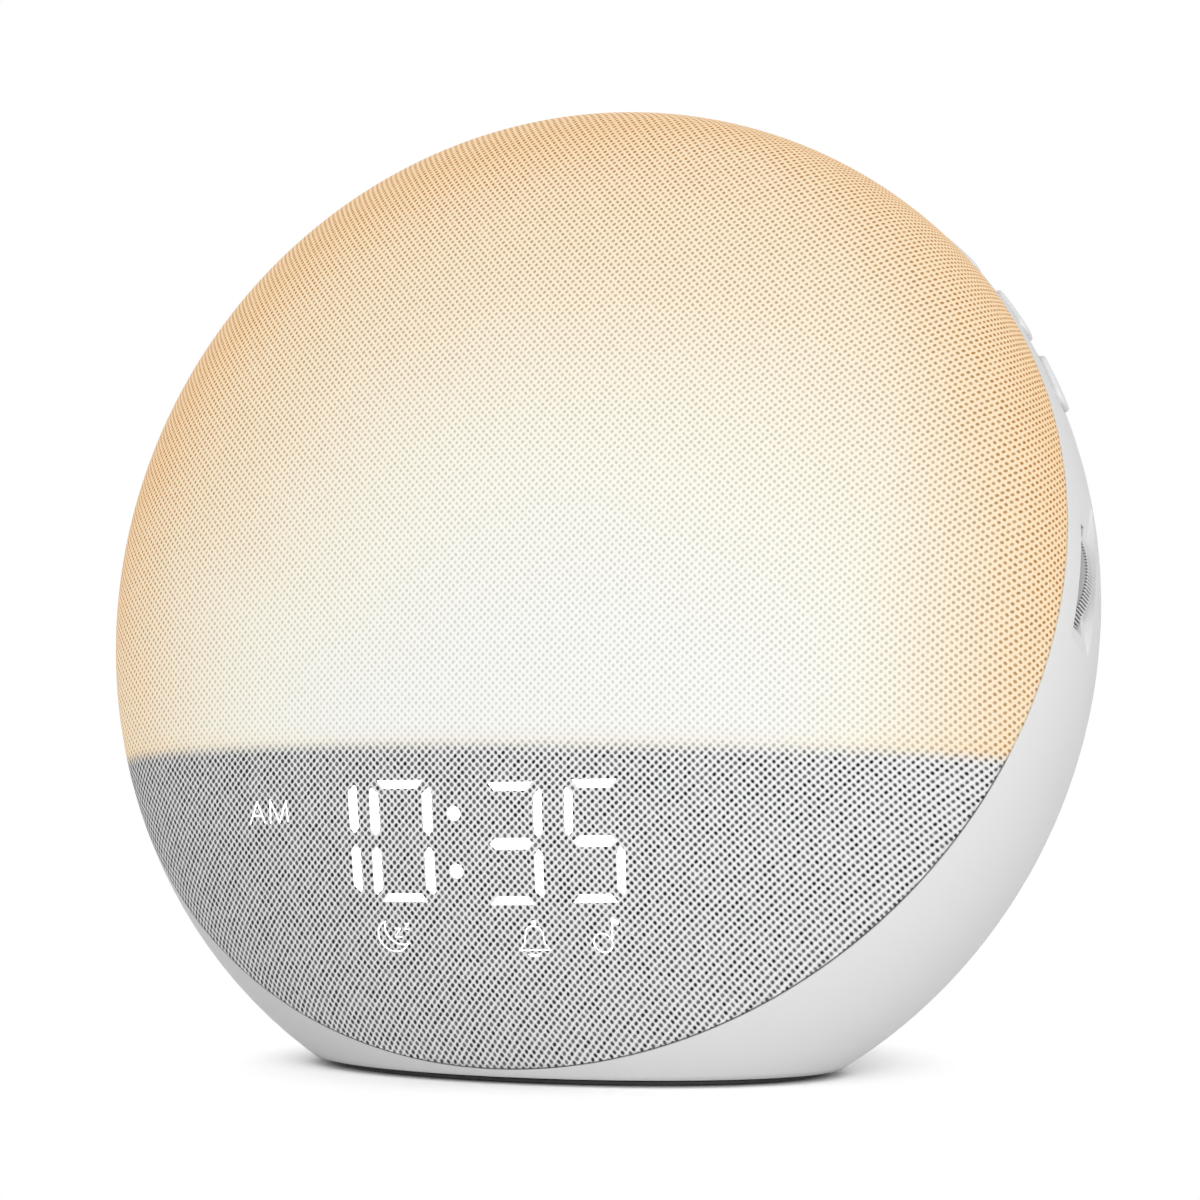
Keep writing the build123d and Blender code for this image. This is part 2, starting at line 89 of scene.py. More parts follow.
# To the camera and in reflections the table is white as paper, and the shadow round the
# clock's foot fades out between two distances from its middle. For the light that it throws
# back on the clock it is a plain pale table.
shadow_full, shadow_gone = 0.042, 0.062
table_white, tree, shader = new_material("table_white")
shader.inputs["Base Color"].default_value = (0.85, 0.85, 0.85, 1)
shader.inputs["Roughness"].default_value = 0.9
place = add_node(tree, "TexCoord").outputs["Object"]
seen = add_node(tree, "LightPath")
mirrored = add_node(tree, "Math", {0: seen.outputs["Is Glossy Ray"],
                                   1: seen.outputs["Is Transmission Ray"]}, operation="MAXIMUM")
direct = add_node(tree, "Math", {0: mirrored.outputs[0],
                                 1: seen.outputs["Is Camera Ray"]}, operation="MAXIMUM")
speck = add_node(tree, "TexNoise", {"Vector": place, "Scale": 40.0, "Detail": 2.0})
pale = add_node(tree, "MapRange", {"Value": speck.outputs["Fac"], "To Min": 0.97})
first_coat = add_node(tree, "BsdfDiffuse", {"Color": pale.outputs[0]})
second_coat = add_node(tree, "BsdfDiffuse", {"Color": (0.4, 0.4, 0.4, 1)})
shaded = add_node(tree, "AddShader", {0: first_coat.outputs[0], 1: second_coat.outputs[0]})
paper = add_node(tree, "Emission", {"Color": pale.outputs[0], "Strength": 1.02})
away = add_node(tree, "VectorMath", {0: place}, operation="LENGTH")
open_floor = add_node(tree, "MapRange", {"Value": away.outputs["Value"],
                                         "From Min": shadow_full, "From Max": shadow_gone},
                      interpolation_type="SMOOTHSTEP")
bright = add_node(tree, "MixShader", {0: open_floor.outputs[0], 1: shaded.outputs[0],
                                      2: paper.outputs[0]})
top_coat = add_node(tree, "MixShader", {0: direct.outputs[0], 1: shader.outputs[0],
                                        2: bright.outputs[0]})
tree.links.new(top_coat.outputs[0], tree.nodes["Material Output"].inputs["Surface"])

sheet = bmesh.new()
bmesh.ops.create_circle(sheet, cap_ends=True, segments=64, radius=9.0)
table = new_piece("table", sheet, table_white, smooth=False)

room = bpy.data.worlds.new("room")
bpy.context.scene.world = room
room.use_nodes = True
tree = room.node_tree
backdrop = tree.nodes["Background"]
backdrop.inputs["Color"].default_value = (1, 1, 1, 1)
seen = add_node(tree, "LightPath")
direct = add_node(tree, "Math", {0: seen.outputs["Is Camera Ray"],
                                 1: seen.outputs["Is Glossy Ray"]}, operation="MAXIMUM")
strength = add_node(tree, "MapRange", {"Value": direct.outputs[0], "To Min": 0.575})
tree.links.new(strength.outputs[0], backdrop.inputs["Strength"])


def soft_lamp(name, place, power):
    """A square lamp 1.2 m across that looks at the clock's middle."""
    light = bpy.data.lights.new(name, "AREA")
    light.size = 1.2
    light.energy = power
    lamp = bpy.data.objects.new(name, light)
    bpy.context.scene.collection.objects.link(lamp)
    lamp.location = place
    to_clock = Vector((0, 0, 0.07)) - Vector(place)
    lamp.rotation_euler = to_clock.to_track_quat("-Z", "Y").to_euler()


soft_lamp("key_lamp", (1.2, -1.35, 0.45), 19.5)
soft_lamp("fill_lamp", (0.1, -1.7, 0.25), 3.5)

# ---- Base plate, rubber foot and base screws ----
# The base plate is a shallow plug of plastic, pushed into the shell's flattened
# underside and held by four short screws. It is painted black, as painted shade under the
# shell's lower edge. A ring of soft rubber sits in its groove.


def mixed(tree, factor, first, second, blend_type="MIX"):
    """Two colours mixed, or multiplied, as a link."""
    node = add_node(tree, "Mix", {"Factor": factor, "A": first, "B": second},
                    data_type="RGBA", blend_type=blend_type)
    return node.outputs["Result"]


def grey_level(tree, level):
    """A number as a grey, to dim a colour with."""
    return add_node(tree, "CombineColor", dict.fromkeys((0, 1, 2), level)).outputs[0]


def moulded(name, colour, roughness, grain=0.0004, depth=0.06, specular=0.5, shade_in_gaps=1.0):
    """Injection-moulded plastic: a fine spark-eroded grain and faint flow marks.

    The last argument, under 1, is how dark the plastic is painted in narrow gaps: painted
    shade."""
    material, tree, shader = new_material(name)
    place = add_node(tree, "TexCoord").outputs["Object"]
    flow = add_node(tree, "TexNoise", {"Vector": place, "Scale": 28.0, "Detail": 3.0})
    dark = [channel * 0.97 for channel in colour]
    light = [min(channel * 1.02, channel * 0.9 + 0.1) for channel in colour]
    tone = mixed(tree, flow.outputs["Fac"], (*dark, 1), (*light, 1))
    if shade_in_gaps < 1:
        # Painted shade: the colour is darkened where other surfaces lie close round it.
        gap = add_node(tree, "AmbientOcclusion", {"Distance": 0.003}, samples=8)
        painted_shade = add_node(tree, "MapRange", {"Value": gap.outputs["AO"], "From Min": 0.1,
                                           "From Max": 0.5, "To Min": shade_in_gaps})
        tone = mixed(tree, 1.0, tone, grey_level(tree, painted_shade.outputs[0]), "MULTIPLY")
    grains = add_node(tree, "TexNoise", {"Vector": place, "Scale": 0.5 / grain, "Detail": 2.0})
    sheen = add_node(tree, "MapRange", {"Value": grains.outputs["Fac"],
                                        "To Min": roughness - 0.06, "To Max": roughness + 0.06})
    relief = add_node(tree, "Bump", {"Height": grains.outputs["Fac"], "Strength": depth,
                                     "Distance": 0.0002})
    tree.links.new(tone, shader.inputs["Base Color"])
    tree.links.new(sheen.outputs[0], shader.inputs["Roughness"])
    tree.links.new(relief.outputs[0], shader.inputs["Normal"])
    shader.inputs["Specular IOR Level"].default_value = specular
    return material


def plated(name, colour, roughness, streaks=260.0):
    """Plated or rolled metal: fine streaks in its shine and a slight stain."""
    material, tree, shader = new_material(name)
    place = add_node(tree, "TexCoord").outputs["Object"]
    drawn = add_node(tree, "Mapping", {"Vector": place, "Scale": (1, 1, 9)})
    marks = add_node(tree, "TexNoise", {"Vector": drawn.outputs[0], "Scale": streaks,
                                        "Detail": 4.0})
    stain = add_node(tree, "TexNoise", {"Vector": place, "Scale": 90.0, "Detail": 2.0})
    dark = [channel * 0.84 for channel in colour]
    tone = mixed(tree, stain.outputs["Fac"], (*dark, 1), (*colour, 1))
    shine = add_node(tree, "MapRange", {"Value": marks.outputs["Fac"],
                                        "To Min": roughness - 0.1, "To Max": roughness + 0.12})
    relief = add_node(tree, "Bump", {"Height": marks.outputs["Fac"], "Strength": 0.08,
                                     "Distance": 0.0001})
    tree.links.new(tone, shader.inputs["Base Color"])
    tree.links.new(shine.outputs[0], shader.inputs["Roughness"])
    tree.links.new(relief.outputs[0], shader.inputs["Normal"])
    shader.inputs["Metallic"].default_value = 1.0
    return material


def dress(material, *names):
    """Gives solids of the frame their finish."""
    for name in names:
        for place in nodes[name].material_slots:
            place.material = material


# Painted shade: the base plate is black so that the band under the shell looks shadowed.
dress(moulded("base_shade_black", (0.03, 0.03, 0.032), 0.6), "base_plate")
dress(moulded("foot_rubber", (0.1, 0.1, 0.1), 0.8, grain=0.0007, depth=0.2), "rubber_foot")
screw_steel = plated("screw_steel", (0.62, 0.61, 0.58), 0.3)
dress(screw_steel, "base_screws")

# ---- Rear shell ----
# One white satin moulding makes the whole back and sides. Slots for the buttons, a thumb
# dish for the wheel and rings of sound holes are moulded in.
# The shell is painted darker in narrow gaps, such as the wheel's slot and round the buttons:
# painted shade.
dress(moulded("shell_white", (0.75, 0.75, 0.75), 0.5, grain=0.0003, depth=0.006, specular=0.2,
              shade_in_gaps=0.3), "rear_shell")

# ---- Power socket and its board ----
# A small steel receptacle stands on its own board behind the recess, low on the back.
# The board is green, and its copper tracks show as paler lines.
dress(plated("socket_steel", (0.66, 0.66, 0.66), 0.25), "power_socket")


def printed_board(name, mask, copper):
    """A circuit board: tracks show as paler lines under the coloured solder mask."""
    material, tree, shader = new_material(name)
    place = add_node(tree, "TexCoord").outputs["Object"]
    upright = add_node(tree, "Mapping", {"Vector": place, "Rotation": (radians(90), 0, 0)})
    tracks = add_node(tree, "TexBrick", {"Vector": upright.outputs[0], "Scale": 180.0,
                                         "Color1": (*mask, 1), "Color2": (*copper, 1),
                                         "Mortar": (*mask, 1), "Mortar Size": 0.03,
                                         "Bias": -0.35, "Brick Width": 1.7,
                                         "Row Height": 0.3}, offset=0.37)
    cloud = add_node(tree, "TexNoise", {"Vector": place, "Scale": 60.0})
    tone = mixed(tree, 0.12, tracks.outputs["Color"], cloud.outputs["Color"], "MULTIPLY")
    relief = add_node(tree, "Bump", {"Height": tracks.outputs["Fac"], "Strength": 0.15,
                                     "Distance": 0.0001})
    gloss = add_node(tree, "MapRange", {"Value": cloud.outputs["Fac"], "To Min": 0.25,
                                        "To Max": 0.4})
    tree.links.new(tone, shader.inputs["Base Color"])
    tree.links.new(relief.outputs[0], shader.inputs["Normal"])
    tree.links.new(gloss.outputs[0], shader.inputs["Roughness"])
    return material


board_green = printed_board("board_green", (0.012, 0.11, 0.045), (0.03, 0.2, 0.08))
dress(board_green, "socket_board")

# ---- Speaker ----
# A 58 mm speaker is screwed to the shell's ring through a foam gasket. Its pressed steel
# basket carries a paper cone and a ferrite magnet.
dress(plated("basket_steel", (0.1, 0.1, 0.105), 0.45), "speaker_basket")
dress(moulded("magnet_iron", (0.05, 0.05, 0.055), 0.55, grain=0.0008, depth=0.25),
      "speaker_magnet")
dress(screw_steel, "speaker_screws")


def two_tone(tree, value, first, last):
    """A colour that runs from the first to the last one with a pattern, as a link."""
    tone = add_node(tree, "ValToRGB", {"Fac": value})
    for mark, colour in zip(tone.color_ramp.elements, (first, last)):
        mark.color = (*colour, 1)
    return tone.outputs[0]


cone_paper, tree, shader = new_material("cone_paper")
place = add_node(tree, "TexCoord").outputs["Object"]
pulp = add_node(tree, "TexNoise", {"Vector": place, "Scale": 500.0, "Detail": 6.0,
                                   "Roughness": 0.7}).outputs["Fac"]
tone = two_tone(tree, pulp, (0.012, 0.012, 0.013), (0.06, 0.06, 0.062))
relief = add_node(tree, "Bump", {"Height": pulp, "Strength": 0.4, "Distance": 0.0003})
tree.links.new(tone, shader.inputs["Base Color"])
tree.links.new(relief.outputs[0], shader.inputs["Normal"])
shader.inputs["Roughness"].default_value = 0.9
dress(cone_paper, "speaker_cone")

gasket_foam, tree, shader = new_material("gasket_foam")
place = add_node(tree, "TexCoord").outputs["Object"]
cells = add_node(tree, "TexVoronoi", {"Vector": place, "Scale": 1400.0}).outputs["Distance"]
tone = two_tone(tree, cells, (0.01, 0.01, 0.01), (0.07, 0.07, 0.07))
relief = add_node(tree, "Bump", {"Height": cells, "Strength": 0.5, "Distance": 0.0003})
tree.links.new(tone, shader.inputs["Base Color"])
tree.links.new(relief.outputs[0], shader.inputs["Normal"])
shader.inputs["Roughness"].default_value = 1.0
dress(gasket_foam, "speaker_gasket")

# ---- Push buttons, their carrier, circuit and switches ----
# Each button is a satin white cap with a flange inside the shell. It presses a small
# tactile switch on a flexible circuit that lies on the carrier band.
# The caps are painted darker in the narrow gaps round them: painted shade.
dress(moulded("cap_white", (0.72, 0.72, 0.725), 0.36, grain=0.0003, depth=0.004, shade_in_gaps=0.5),
      "button_upper", "button_middle", "button_lower", "snooze_button")
dress(moulded("carrier_plastic", (0.55, 0.55, 0.54), 0.55), "button_carrier")
dress(printed_board("button_film", (0.33, 0.16, 0.03), (0.5, 0.28, 0.07)), "button_circuit")
dress(moulded("switch_black", (0.02, 0.02, 0.022), 0.45), "button_switches")

# ---- Dial wheel, shaft, encoder and bracket ----
# The wheel is a grey disc with 156 fine teeth on its edge, pressed on a steel shaft that
# turns the encoder. The encoder hangs from the mid-frame on a moulded bracket.
body_middle = Vector((0, 0, 0.07227))
rim_tip = radians(22.25)
rim_out = Vector((0, -cos(rim_tip), sin(rim_tip)))
rim_forward = 0.00944
to_rim = (Matrix.Translation(body_middle + rim_out * rim_forward)
          @ Matrix.Rotation(radians(90) - rim_tip, 4, "X"))
wheel_place = to_rim @ Matrix.Translation((0.0711, 0.0065, -0.0085))

# The disc's sizes are in millimetres. Half of it is drawn out ring by ring, from the teeth
# over the bevelled edge, the sunk face and the hub to the bore, and then mirrored.
teeth, wheel_radius, half_thick = 156, 13.8, 1.5
notch_share, bevel_share = 0.972, 0.991
bevel_start = half_thick - 0.12
face_edge, sunk_edge, hub_radius, bore_radius = 12.9, 11.8, 5.0, 3.05
sunk_height = 1.0

disc = bmesh.new()
bmesh.ops.create_circle(disc, segments=4 * teeth, radius=wheel_radius)
notches = [corner for corner in disc.verts if corner.index % 4 > 1]
bmesh.ops.scale(disc, vec=(notch_share, notch_share, 1), verts=notches)
ring = disc.edges[:]
for radius, height in ((None, bevel_start), (None, half_thick), (face_edge, half_thick),
                       (sunk_edge, half_thick), (sunk_edge, sunk_height),
                       (hub_radius, sunk_height), (hub_radius, half_thick),
                       (bore_radius, half_thick), (bore_radius, 0.0)):
    made = bmesh.ops.extrude_edge_only(disc, edges=ring)["geom"]
    ring = [part for part in made if isinstance(part, bmesh.types.BMEdge)]
    for corner in {corner for side in ring for corner in side.verts}:
        if radius:
            corner.co = corner.co.xy.normalized().to_3d() * radius
        elif height == half_thick:
            corner.co *= bevel_share
        corner.co.z = height
bmesh.ops.mirror(disc, geom=disc.verts[:] + disc.edges[:] + disc.faces[:], axis="Z",
                 merge_dist=0.001)
bmesh.ops.recalc_face_normals(disc, faces=disc.faces)
bmesh.ops.scale(disc, vec=(0.001, 0.001, 0.001), verts=disc.verts)
bmesh.ops.transform(disc, matrix=wheel_place, verts=disc.verts)

# The notches are painted dark, as painted shade between the teeth, the colour grows
# paler out to the tips, and the flat faces are given a level between.
wheel_grey = moulded("wheel_grey", (0.62, 0.62, 0.62), 0.45, grain=0.0003, depth=0.02)
tree = wheel_grey.node_tree
shader = tree.nodes["Principled BSDF"]
from_hub = add_node(tree, "VectorMath", {0: add_node(tree, "TexCoord").outputs["Object"],
                                         1: wheel_place.translation}, operation="SUBTRACT")
off_axis = add_node(tree, "VectorMath", {0: from_hub.outputs[0], 1: rim_out},
                    operation="CROSS_PRODUCT")
off_axis = add_node(tree, "VectorMath", {0: off_axis.outputs[0]}, operation="LENGTH")
# Painted shade: darker towards the notch floors, paler towards the tips.
notch_shade_tip_light = add_node(tree, "MapRange", {"Value": off_axis.outputs["Value"],
                                    "From Min": (wheel_radius - 0.35) * 0.001,
                                    "From Max": (wheel_radius - 0.08) * 0.001,
                                    "To Min": 0.22, "To Max": 1.3})
along = add_node(tree, "VectorMath", {0: from_hub.outputs[0], 1: rim_out},
                 operation="DOT_PRODUCT")
along = add_node(tree, "Math", {0: along.outputs["Value"]}, operation="ABSOLUTE")
flank = add_node(tree, "Math", {0: along.outputs[0], 1: (half_thick - 0.03) * 0.001},
                 operation="GREATER_THAN")
level = add_node(tree, "Mix", {0: flank.outputs[0], 2: notch_shade_tip_light.outputs[0], 3: 0.85})
plastic = shader.inputs["Base Color"].links[0].from_socket
tone = mixed(tree, 1.0, plastic, grey_level(tree, level.outputs[0]), "MULTIPLY")
tree.links.new(tone, shader.inputs["Base Color"])

knurled_wheel = new_piece("knurled_wheel", disc, wheel_grey, smooth=False)
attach(knurled_wheel, "dial")
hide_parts("dial_wheel")
dress(plated("shaft_steel", (0.66, 0.65, 0.63), 0.22), "dial_shaft")
dress(moulded("encoder_black", (0.018, 0.02, 0.024), 0.4), "dial_encoder")
dress(moulded("bracket_black", (0.03, 0.03, 0.032), 0.55), "encoder_bracket")

# ---- Mid-frame, main board and cell ----
# The mid-frame is a stiff black moulding that everything is fixed to. The main board is
# screwed behind it, with its parts, a holder and a coin cell that keeps the time.
dress(moulded("frame_black", (0.035, 0.035, 0.037), 0.55, depth=0.1), "mid_frame")
dress(board_green, "main_board", "display_board")
dress(moulded("chip_black", (0.016, 0.016, 0.018), 0.38), "main_board_chips")
dress(moulded("holder_black", (0.025, 0.025, 0.027), 0.5), "cell_holder")
dress(plated("cell_steel", (0.68, 0.67, 0.65), 0.28, streaks=500.0), "coin_cell")
dress(screw_steel, "board_screws", "shell_screws")

# ---- Display cable ----
# A flat flexible cable runs from the display's board to the main board. Its copper lines
# show through the film.
cable_film, tree, shader = new_material("cable_film")
place = add_node(tree, "TexCoord").outputs["Object"]
lines = add_node(tree, "TexWave", {"Vector": place, "Scale": 500.0}, bands_direction="X")
tone = two_tone(tree, lines.outputs["Fac"], (0.6, 0.6, 0.58), (0.45, 0.27, 0.12))
tree.links.new(tone, shader.inputs["Base Color"])
shader.inputs["Roughness"].default_value = 0.35
dress(cable_film, "display_cable")

# ---- Reflector, light board, lamps and light shelf ----
# A bowl of glossy white plastic round the lamps throws their light on the dome. The shelf
# under it is moulded in the same white and keeps the light out of the grey lower part.
dress(moulded("bowl_white", (0.88, 0.88, 0.87), 0.22, depth=0.03), "reflector", "light_shelf")
dress(printed_board("board_white", (0.78, 0.78, 0.76), (0.7, 0.7, 0.66)), "light_board")


def lamp_chip(name, phosphor, strength):
    """A lamp in a white package: its round window of phosphor glows."""
    material, tree, shader = new_material(name)
    place = add_node(tree, "TexCoord").outputs["Object"]
    grains = add_node(tree, "TexNoise", {"Vector": place, "Scale": 900.0, "Detail": 3.0})
    tone = mixed(tree, grains.outputs["Fac"], (*phosphor, 1), (0.9, 0.88, 0.8, 1))
    tree.links.new(tone, shader.inputs["Base Color"])
    tree.links.new(tone, shader.inputs["Emission Color"])
    shader.inputs["Emission Strength"].default_value = strength
    shader.inputs["Roughness"].default_value = 0.3
    return material


dress(lamp_chip("warm_phosphor", (0.9, 0.42, 0.08), 1.5), "warm_leds")
dress(lamp_chip("cool_phosphor", (0.9, 0.85, 0.3), 1.0), "cool_leds")

# ---- Display case and light guides ----
# The display is a dark moulded case full of slots. A clear guide in each slot brings the
# light of one bar, dot or symbol to the cloth.
dress(moulded("case_dark", (0.035, 0.035, 0.037), 0.55), "display_case")
dress(moulded("guide_milk", (0.82, 0.83, 0.85), 0.25, depth=0.02), "display_guides")

# ---- Front dome ----
# Under the cloth lies a rigid dome in two parts. The milky upper part spreads the light,
# and the grey lower part carries the display.
dress(moulded("diffuser_milk", (0.86, 0.84, 0.79), 0.4, depth=0.03), "light_diffuser")
dress(moulded("baffle_grey", (0.3, 0.3, 0.3), 0.6), "front_baffle")

# ---- Cloth cover ----
# A knitted polyester cloth is stretched over the whole dome and tucked into the shell's
# groove. Its threads leave rows of small staggered holes, and light from behind shows
# through its upper part.
body_radius, body_half = 0.085, 0.055
body_lean = radians(10.83)
edge_overlap = 0.00003
rim_middle = body_middle + rim_out * (rim_forward - edge_overlap)
to_body = Matrix.Translation(body_middle) @ Matrix.Rotation(radians(90) - body_lean, 4, "X")

cover = bmesh.new()
bmesh.ops.create_uvsphere(cover, u_segments=256, v_segments=128, radius=body_radius)
bmesh.ops.scale(cover, vec=(1, 1, body_half / body_radius), verts=cover.verts)
bmesh.ops.transform(cover, matrix=to_body, verts=cover.verts)
bmesh.ops.bisect_plane(cover, geom=cover.verts[:] + cover.edges[:] + cover.faces[:],
                       plane_co=rim_middle, plane_no=rim_out, clear_inner=True, dist=1e-6)
bmesh.ops.remove_doubles(cover, verts=cover.verts, dist=1e-5)
bmesh.ops.recalc_face_normals(cover, faces=cover.faces)
front = BVHTree.FromBMesh(cover)

# The cloth's edge is tucked inwards and back in two steps, into the groove.
for inward, back in ((0.997, 0.00012), (0.992, 0.00005)):
    edge = [side for side in cover.edges if side.is_boundary]
    tuck = bmesh.ops.extrude_edge_only(cover, edges=edge)["geom"]
    corners = [corner for corner in tuck if isinstance(corner, bmesh.types.BMVert)]
    bmesh.ops.scale(cover, vec=(inward, inward, inward), verts=corners,
                    space=Matrix.Translation(-rim_middle))
    bmesh.ops.translate(cover, vec=-rim_out * back, verts=corners)

cloth_knit, tree, shader = new_material("cloth_knit")
place = add_node(tree, "TexCoord").outputs["Object"]
from_middle = add_node(tree, "VectorMath", {0: place, 1: body_middle},
                       operation="SUBTRACT").outputs[0]
in_mm = add_node(tree, "VectorMath", {0: from_middle, "Scale": 1000.0},
                 operation="SCALE").outputs[0]


def measure(direction, value, offset=0.0):
    """How far a point lies along a direction, as a number."""
    along = add_node(tree, "VectorMath", {0: value, 1: direction}, operation="DOT_PRODUCT")
    return add_node(tree, "Math", {0: along.outputs["Value"], 1: offset}).outputs[0]


def length(value):
    return add_node(tree, "VectorMath", {0: value}, operation="LENGTH").outputs["Value"]


def sums(operation, *values):
    """One step of arithmetic in the cloth's material."""
    return add_node(tree, "Math", dict(enumerate(values)), operation=operation).outputs[0]


def ranged(value, start, end, low=0.0, high=1.0, how="LINEAR"):
    """Low up to the start, high past the end, and a slope or a soft step between them."""
    node = add_node(tree, "MapRange", {"Value": value, "From Min": start, "From Max": end,
                                       "To Min": low, "To Max": high}, interpolation_type=how)
    return node.outputs[0]


# The weave lies flat across the front. Past 80 mm from the axis the cloth turns back along
# the side, so there it is measured along itself, at a pace that grows with the turn. The
# turn is in radians, and the pace in millimetres for each of them.
flat_reach, side_turn = 80.0, 1.2257
side_pace, side_growth = 27.4, 21.8
body_up = Vector((0, sin(body_lean), cos(body_lean)))
body_out = Vector((0, -cos(body_lean), sin(body_lean)))
outwards = add_node(tree, "VectorMath", {0: in_mm, 1: body_out}, operation="PROJECT")
sideways = add_node(tree, "VectorMath", {0: in_mm, 1: outwards.outputs[0]},
                    operation="SUBTRACT").outputs[0]
from_axis = length(sideways)
turned = sums("ARCTAN2", sums("DIVIDE", from_axis, body_radius * 1000),
              sums("DIVIDE", measure(body_out, in_mm), body_half * 1000))
turned = sums("MAXIMUM", sums("SUBTRACT", turned, side_turn), 0.0)
along_side = sums("MULTIPLY", turned, sums("MULTIPLY_ADD", turned, side_growth, side_pace))
along_cloth = sums("ADD", sums("MINIMUM", from_axis, flat_reach), along_side)
stretch = sums("SUBTRACT", sums("DIVIDE", along_cloth, from_axis), 1.0)
unrolled = add_node(tree, "VectorMath", {0: sideways, "Scale": stretch}, operation="SCALE")
unrolled = add_node(tree, "VectorMath", {0: in_mm, 1: unrolled.outputs[0]}).outputs[0]

# The holes stand in two families of slanting rows, 1.24 mm apart across and down. Both
# directions count rows per millimetre, and each hole has its own width, slant and depth.
half_pitch = 0.62
hole_half_tall = 0.315
rows_up = Vector((0.798, 0, 0)) + body_up * 0.817 - body_out * 0.095
rows_down = Vector((0.809, 0, 0)) - body_up * 0.804 - body_out * 0.113
wander = add_node(tree, "TexNoise", {"Vector": place, "Scale": 160.0, "Detail": 1.0})
waver = sums("MULTIPLY_ADD", wander.outputs["Fac"], 0.16, -0.08)
row_a = sums("ADD", measure(rows_up, unrolled), waver)
row_b = sums("SUBTRACT", measure(rows_down, unrolled), waver)
cell = add_node(tree, "CombineXYZ", {0: sums("FLOOR", row_a), 1: sums("FLOOR", row_b)})
chance = add_node(tree, "TexWhiteNoise", {"Vector": cell.outputs[0]}, noise_dimensions="3D")
chance = add_node(tree, "SeparateColor", {0: chance.outputs["Color"]})
chance_slant, chance_width, chance_depth = chance.outputs
local_a = sums("SUBTRACT", sums("FRACT", row_a), 0.5)
local_b = sums("SUBTRACT", sums("FRACT", row_b), 0.5)
down = sums("MULTIPLY", sums("SUBTRACT", local_a, local_b), half_pitch)
across = sums("MULTIPLY", sums("ADD", local_a, local_b), half_pitch)
across = sums("MULTIPLY_ADD", down, sums("MULTIPLY_ADD", chance_slant, 0.5, -0.3), across)
hole_half_wide = sums("MULTIPLY_ADD", chance_width, 0.05, 0.255)
from_hole = sums("SQRT", sums("ADD", sums("POWER", sums("DIVIDE", across, hole_half_wide), 2.0),
                              sums("POWER", sums("DIVIDE", down, hole_half_tall), 2.0)))

# The light ends at the shelf, which drops a little towards the back and to the left. The
# holes are drawn wider to the left and narrower to the right, as painted shade that darkens
# the grey cloth towards the left, and the glow fills them in.
shelf_up, shelf_front = Vector((-0.0208, 0.1011, 0.9947)), Vector((0, -55, -18.27))
above_shelf = measure(shelf_up, in_mm, -shelf_up.dot(shelf_front))
lit = ranged(above_shelf, -1.5, 1.3, how="SMOOTHSTEP")
to_right = add_node(tree, "SeparateXYZ", {"Vector": in_mm}).outputs[0]
# Painted shade: wider holes darken the grey cloth towards the left.
hole_scale_side_shade = add_node(tree, "Mix", {0: lit, 2: ranged(to_right, -75.0, 80.0, 1.16, 0.84), 3: 0.86})
hole = ranged(sums("DIVIDE", from_hole, hole_scale_side_shade.outputs[0]), 0.7, 1.3, 1.0, 0.0, "SMOOTHSTEP")
hole = sums("MULTIPLY", hole, sums("MULTIPLY_ADD", chance_depth, 0.24, 0.8))
fibre = add_node(tree, "TexNoise", {"Vector": place, "Scale": 2600.0, "Detail": 2.0})
crossing = ranged(from_hole, 1.2, 2.1, 0.0, 0.8)
thread = sums("MULTIPLY_ADD", fibre.outputs["Fac"], 0.2, crossing)

# The glow runs from white low in the middle, through straw, to orange. Its warmth is the
# distance from the glow's middle in millimetres. The rim is warmer, apart from the lower
# left, and so is the upper left with its far side. The lower left corner is cooler.
glow_middle, glow_shape = (20.75, 0, -49.2), (1, 0, 0.78)
rim_warmth, left_warmth, corner_warmth, full_warmth = 33.5, 17.3, -4.0, 120.0
camera_line = (-0.427, 0.904, 0)
from_glow = add_node(tree, "VectorMath", {0: in_mm, 1: glow_middle}, operation="SUBTRACT")
from_glow = add_node(tree, "VectorMath", {0: from_glow.outputs[0], 1: glow_shape},
                     operation="MULTIPLY")
past_rim = measure(rim_out, in_mm, -rim_forward * 1000)
upper_right = ranged(measure((1, 0, 0.8), in_mm), -65.0, -30.0, -0.25, 1.0)
near_rim = sums("MULTIPLY", ranged(past_rim, 0.0, 28.3, rim_warmth, 0.0), upper_right)
near_outline = add_node(tree, "VectorMath", {0: in_mm, 1: camera_line},
                        operation="CROSS_PRODUCT")
near_outline = ranged(length(near_outline.outputs[0]), 68.0, 80.0, 0.0, left_warmth)
far_side = ranged(past_rim, 28.0, 18.0, 0.0, left_warmth)
upper_left = sums("POWER", ranged(measure((-1, 0, 1), in_mm), 0.0, 74.0), 2.0)
near_left = sums("MULTIPLY", sums("MAXIMUM", near_outline, far_side), upper_left)
low_left = ranged(measure((-0.5, 0, -1), in_mm), 8.0, 18.0, 0.0, corner_warmth)
drift = add_node(tree, "TexNoise", {"Vector": place, "Scale": 26.0, "Detail": 2.0})
drift = sums("MULTIPLY_ADD", drift.outputs["Fac"], 8.0, -4.0)
warmth = length(from_glow.outputs[0])
for change in (near_rim, near_left, low_left, drift):
    warmth = sums("ADD", warmth, change)
warmth = sums("DIVIDE", warmth, full_warmth)


def glow_ramp(*stops):
    """Colours by warmth, given as they look on a screen."""
    ramp = add_node(tree, "ValToRGB", {"Fac": warmth})
    marks = ramp.color_ramp.elements
    while len(marks) < len(stops):
        marks.new(0.5)
    for mark, (where, *colour) in zip(marks, stops):
        mark.position = where
        mark.color = (*[(channel / 255) ** 2.2 for channel in colour], 1)
    return ramp.outputs[0]


